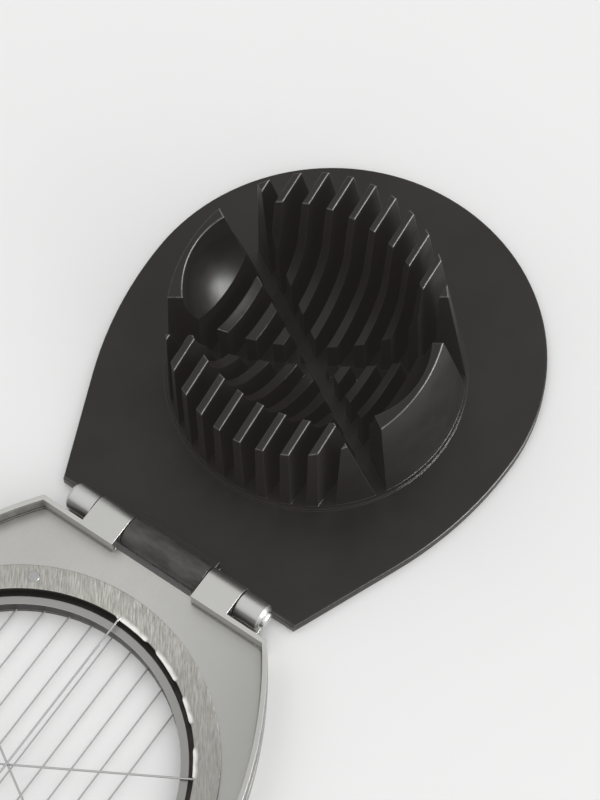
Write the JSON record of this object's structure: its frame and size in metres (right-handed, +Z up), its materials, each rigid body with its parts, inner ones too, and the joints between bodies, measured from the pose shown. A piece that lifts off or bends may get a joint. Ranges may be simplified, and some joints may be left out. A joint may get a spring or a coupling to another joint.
{
  "type": "egg slicer",
  "caption": "Two-way egg slicer: a ribbed plastic cradle on an egg-shaped plate, with a slicing frame and a wedge frame of taut wires that fold over it on one hinge pin.",
  "frame": {"origin": "on the table directly below the middle of the hinge pin, slicer open flat", "axes": "X along the hinge pin, +Y from the hinge to the cradle, +Z up from the table"},
  "size_m": [0.0944, 0.2143, 0.0444],
  "materials": {
    "black_plastic": "fine satin moulding",
    "frame_alloy": "fine matt silver",
    "ring_steel": "coarse brushed",
    "rivet_metal": "dull, peened",
    "pin_steel": "turned",
    "wire_steel": "drawn bright wire"
  },
  "bodies": {
    "base": {"base": "black_plastic"},
    "slicing_frame": {"slicing_frame": "frame_alloy", "slicing_ring": "ring_steel", "slicing_rivets": "rivet_metal", "hinge_pin": "pin_steel", "slicing_wire_1": "wire_steel", "slicing_wire_2": "wire_steel", "slicing_wire_3": "wire_steel", "slicing_wire_4": "wire_steel", "slicing_wire_5": "wire_steel", "slicing_wire_6": "wire_steel", "slicing_wire_7": "wire_steel", "slicing_wire_8": "wire_steel", "slicing_wire_9": "wire_steel"},
    "wedge_frame": {"wedge_frame": "frame_alloy", "wedge_ring": "ring_steel", "wedge_rivets": "rivet_metal", "wedge_wire_1": "wire_steel", "wedge_wire_2": "wire_steel", "wedge_wire_3": "wire_steel"}
  },
  "joints": [
    {"name": "slicing_frame_swing", "type": "hinge", "parent": "base", "child": "slicing_frame", "pos_m": [0, 0, 0.0057], "axis": [-1, 0, 0], "range_deg": [0, 180]},
    {"name": "wedge_frame_swing", "type": "hinge", "parent": "slicing_frame", "child": "wedge_frame", "pos_m": [0, 0, 0.0057], "axis": [-1, 0, 0], "range_deg": [0, 180]}
  ]
}
